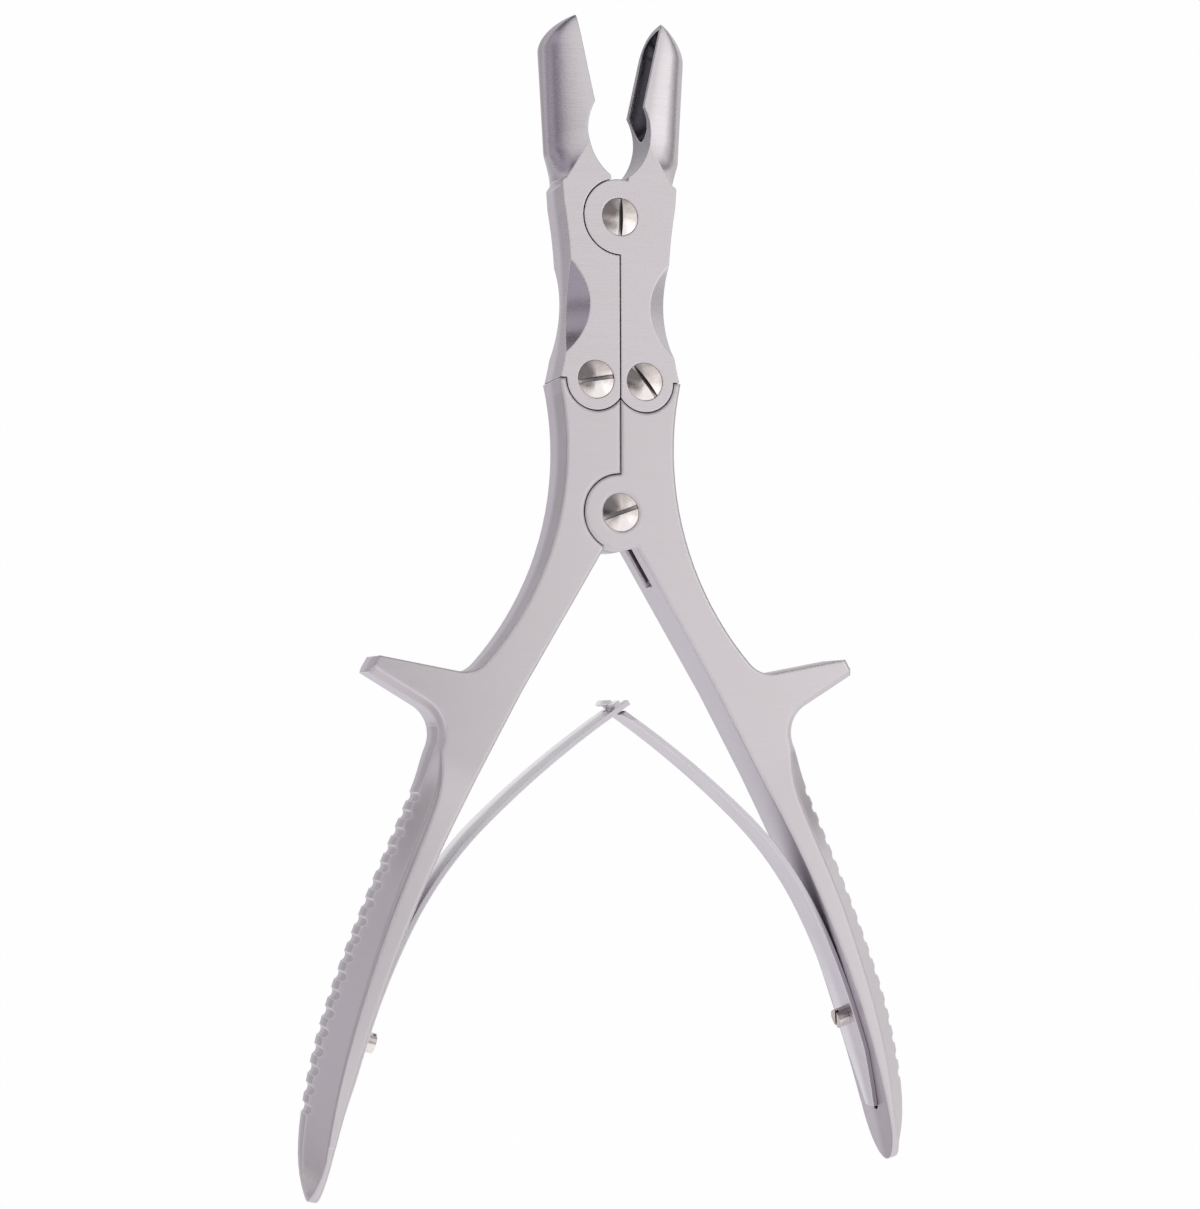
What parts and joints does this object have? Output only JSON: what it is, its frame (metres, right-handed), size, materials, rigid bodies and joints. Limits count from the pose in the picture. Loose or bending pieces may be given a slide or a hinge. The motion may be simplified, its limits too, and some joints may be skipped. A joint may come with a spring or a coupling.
{
  "type": "bone rongeur",
  "caption": "Double-action bone rongeur with hollow curved jaws, finger horns, serrated grips and crossing leaf springs.",
  "frame": {"origin": "on the handle pivot's axis, in the flat back face of the joint", "axes": "+Y from the grips to the jaws, +Z along the pivot screws towards their heads, +X across, towards the grip that carries the handle pivot's fork"},
  "size_m": [0.146, 0.2689, 0.017],
  "materials": {
    "handle_steel": "satin ground stainless steel",
    "jaw_steel": "satin ground stainless steel",
    "screw_steel": "polished stainless steel",
    "spring_steel": "fine ground stainless spring steel"
  },
  "bodies": {
    "left_handle": {"left_handle": "handle_steel", "left_spring_screw": "screw_steel"},
    "right_handle": {"right_handle": "handle_steel", "handle_pivot_screw": "screw_steel", "right_spring_screw": "screw_steel"},
    "left_jaw": {"left_jaw": "jaw_steel", "left_link_screw": "screw_steel"},
    "right_jaw": {"right_jaw": "jaw_steel", "right_link_screw": "screw_steel", "jaw_pivot_screw": "screw_steel"},
    "left_leaf": {"left_leaf_spring": "spring_steel"},
    "right_leaf": {"right_leaf_spring": "spring_steel"}
  },
  "joints": [
    {"name": "handle_hinge", "type": "hinge", "parent": "left_handle", "child": "right_handle", "pos_m": [0, 0, 0.006], "axis": [0, 0, -1], "range_deg": [0, 31.92], "stiffness_Nm_per_rad": 3, "springref_deg": -8.59},
    {"name": "left_link", "type": "hinge", "parent": "left_handle", "child": "left_jaw", "pos_m": [-0.006, 0.0307, 0.006], "axis": [0, 0, -1], "range_deg": [0, 28.58]},
    {"name": "right_link", "type": "hinge", "parent": "right_handle", "child": "right_jaw", "pos_m": [0.006, 0.0307, 0.006], "axis": [0, 0, 1], "range_deg": [0, 28.58]},
    {"name": "left_leaf_flex", "type": "hinge", "parent": "left_handle", "child": "left_leaf", "pos_m": [-0.04951, -0.09366, 0.006], "axis": [0, 0, 1], "range_deg": [0, 11.3], "deforming": ["left_leaf_spring"]},
    {"name": "right_leaf_flex", "type": "hinge", "parent": "right_handle", "child": "right_leaf", "pos_m": [0.04951, -0.09366, 0.006], "axis": [0, 0, -1], "range_deg": [0, 11.3], "deforming": ["right_leaf_spring"]}
  ],
  "couplings": [
    {"joint": "left_link", "follows": "handle_hinge", "ratio": 0.89473},
    {"joint": "right_link", "follows": "handle_hinge", "ratio": 0.89473},
    {"joint": "left_leaf_flex", "follows": "handle_hinge", "ratio": 0.35334},
    {"joint": "right_leaf_flex", "follows": "handle_hinge", "ratio": 0.35334}
  ]
}
